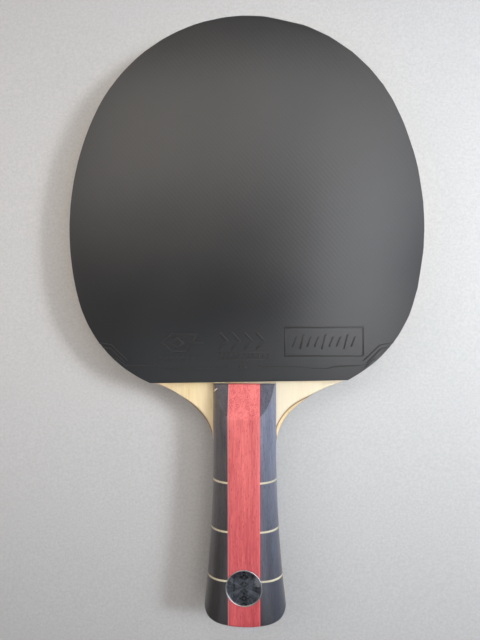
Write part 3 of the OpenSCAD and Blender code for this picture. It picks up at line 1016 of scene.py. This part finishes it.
def sheet_marks():
    """Raised ornament along a topsheet's foot: a rule, a frame of slats, a row of chevrons and a lozenge."""
    bm = bmesh.new()
    # Frame on the right, with plain slats in it
    strokes_through(bm, [(17.4, -3.4), (49.9, -3.4), (49.9, -15.3), (17.4, -15.3), (17.4, -3.4)], 0.6)
    for k in range(9):
        x = 21.2 + 3.05 * k
        tall = 2.7 if k % 3 == 1 else 1.7
        strokes_through(bm, [(x - 0.5, -9.4 - tall), (x + 0.9, -9.4 + tall)], 0.75)
    # Chevrons in the middle, over a ribbon of short ticks
    for k in range(4):
        x = -8.3 + 5.2 * k
        strokes_through(bm, [(x - 1.6, -5.9), (x + 1.3, -9.0), (x - 1.6, -12.1)], 0.95)
    strokes_through(bm, [(-11, -13.9), (10.6, -13.9)], 0.45)
    strokes_through(bm, [(-11, -16.9), (10.6, -16.9)], 0.45)
    for k in range(11):
        x = -10 + 2.0 * k
        strokes_through(bm, [(x, -16.1), (x + 0.7, -14.7)], 0.5)
    # Lozenge on the left, with wings, over a row of ticks
    strokes_through(bm, [(-34.8, -10), (-30.6, -6.2), (-20, -6.2), (-24.2, -13.6), (-30.6, -13.6),
                         (-34.8, -10)], 0.6)
    strokes_through(bm, [(-31, -10), (-28.4, -7.9), (-25.8, -10), (-28.4, -12.1), (-31, -10)], 0.7)
    strokes_through(bm, [(-22.6, -9.6), (-17.6, -9.6)], 0.6)
    for k in range(8):
        x = -36 + 2.3 * k
        strokes_through(bm, [(x, -17.6), (x, -16.0), (x + 1.2, -16.0)], 0.4)
    # The long rule, with its steps and a small diamond at the middle
    strokes_through(bm, [(-50.2, -19.5), (-38.4, -19.5), (-37, -18.9), (-35.6, -20), (-33, -21),
                         (-13.4, -20.9), (-11.4, -20.3), (-9, -21.8), (-7.4, -19.8), (-6.2, -20.9)], 0.42)
    strokes_through(bm, [(6.1, -19), (7.2, -19.8), (26.5, -19.9), (28.6, -20.6), (35.5, -20.6), (37.5, -19.8),
                         (50, -19.1)], 0.42)
    strokes_through(bm, [(-0.4, -17.9), (1.1, -19.8), (-0.4, -21.7), (-1.9, -19.8), (-0.4, -17.9)], 0.6)
    # Slanting strokes towards the corners
    for side in (-1, 1):
        for line in ([(62.0, -9.9), (56.8, -10.7), (50.0, -17.2)],
                     [(60.4, -11.7), (57.2, -12.3), (51.4, -18)], [(54.8, -16.2), (50.6, -19.8)]):
            strokes_through(bm, [(side * x, y) for x, y in line], 0.4)
    return bm


piece("front_moulded_marks", sheet_marks(), black_rubber, angle=60)
bm = sheet_marks()
flip_z(bm)
piece("back_moulded_marks", bm, red_rubber, angle=60)


# ---------------------------------------------------------------- stage, lights and camera

def pale_floor():
    """A plain pale surface with a fine speckle."""
    made, tree, shader, place = material("pale floor")
    speckle = clouds(tree, place, 0.9, 5.0, 0.7)
    speckle = span(tree, speckle.outputs["Fac"], 0.35, 0.65)
    tone = blend(tree, speckle, (0.402, 0.393, 0.384), (0.462, 0.451, 0.441))
    feed(tree, tone, shader.inputs["Base Color"])
    shader.inputs["Roughness"].default_value = 0.75
    return made


# The floor runs from under the head's tip to under the butt
FLOOR_HALF = 900
crown_butt = -(strip_high.z - 0.05)
lean = math.atan2(-rubber_top - crown_butt, tip_y - butt_y)
bm = bmesh.new()
bmesh.ops.create_grid(bm, x_segments=1, y_segments=1, size=FLOOR_HALF)
bmesh.ops.rotate(bm, cent=(0, 0, 0), matrix=Matrix.Rotation(lean, 3, "X"), verts=bm.verts[:])
bmesh.ops.translate(bm, vec=(0, 0, (crown_butt - rubber_top) / 2), verts=bm.verts[:])
floor = new_object("floor", bm)
floor.data.materials.append(pale_floor())

scene = bpy.context.scene
scene.view_settings.view_transform = "Standard"


def softbox(name, place, aim, size, power, colour):
    """A flat light of a width and a height in metres, aimed at a point."""
    data = bpy.data.lights.new(name, "AREA")
    data.shape = "RECTANGLE"
    data.size, data.size_y = size
    data.energy = power
    data.color = colour
    made = bpy.data.objects.new(name, data)
    made.location = place
    made.rotation_mode = "QUATERNION"
    made.rotation_quaternion = (Vector(aim) - Vector(place)).to_track_quat("-Z", "Y")
    bpy.context.collection.objects.link(made)
    return made


def ceiling_panel(name, left, right, near, far, power, colour):
    """A soft panel facing straight down. Its sides are given as slopes away from the upright."""
    x, y = (left + right) / 2 * PANEL_HEIGHT, (near + far) / 2 * PANEL_HEIGHT
    size = ((right - left) * PANEL_HEIGHT, (far - near) * PANEL_HEIGHT)
    softbox(name, (x, y, PANEL_HEIGHT), (x, y, 0), size, power, colour)


PANEL_HEIGHT = 1.2
WARM, PLAIN, PALE, COOL = (1.0, 0.93, 0.86), (1.0, 0.97, 0.95), (0.96, 0.97, 1.0), (0.86, 0.93, 1.0)
ceiling_panel("far_panel_left", -1.02, -0.06, 0.34, 1.07, 5.1, WARM)
ceiling_panel("far_panel_right", -0.06, 0.89, 0.34, 1.07, 5.5, PLAIN)
ceiling_panel("left_panel", -0.78, -0.14, 0.08, 0.34, 0.5, WARM)
ceiling_panel("outer_left_panel", -1.2, -0.78, 0.1, 0.7, 0.6, WARM)
ceiling_panel("middle_panel", -0.14, 0.24, 0.12, 0.34, 0.2, WARM)
ceiling_panel("foot_panel", -0.67, 0.24, -0.73, -0.28, 0.9, COOL)
ceiling_panel("right_panel", 0.24, 0.72, -0.51, 0.34, 4.6, PALE)
softbox("window_light", (1.1, 0.2, 0.5), (0, 0, 0), (0.8, 0.6), 2.6, (0.66, 0.80, 1.0))
softbox("left_light", (-1.1, 0.3, 0.6), (0, 0, 0), (0.8, 0.6), 0.3, WARM)
softbox("near_light", (0.34, 0.24, 0.45), (0.1, 0.1, 0), (0.3, 0.3), 0.16, COOL)
# Pool lights only even out the floor, and leave no glint on the rubber
POOLS = (((0.55, 0.05, 0.55), (0.1, 0.02, 0), 0.2, 0.08, 60, COOL),
         ((0.7, 0.1, 0.5), (0.18, 0.03, 0), 0.3, 0.61, 33, COOL),
         ((-0.7, 0.12, 0.5), (-0.18, 0.05, 0), 0.3, 0.2, 33, WARM))
for n, (place, aim, size, power, spread, colour) in enumerate(POOLS):
    pool = softbox(f"pool_light_{n + 1}", place, aim, (size, size), power, colour)
    pool.data.spread = math.radians(spread)
    pool.visible_glossy = False

world = bpy.data.worlds.new("studio")
scene.world = world
world.use_nodes = True
# The room itself gives little light, and shows as a pale backdrop
tree = world.node_tree
sky = tree.nodes["Background"]
sky.inputs["Color"].default_value = (0.80, 0.80, 0.83, 1)
seen = tree.nodes.new("ShaderNodeLightPath")
feed(tree, span(tree, seen.outputs["Is Camera Ray"], 0, 1, 0.12, 0.8), sky.inputs["Strength"])

camera_data = bpy.data.cameras.new("camera")
camera_data.lens = 31.57
camera_data.sensor_width = 36
camera_data.clip_start = 0.01
camera = bpy.data.objects.new("camera", camera_data)
camera.location = (0.013, 0.0011, 0.2434)
camera.rotation_euler = (math.radians(-0.32), math.radians(3.53), math.radians(-0.18))
bpy.context.collection.objects.link(camera)
scene.camera = camera
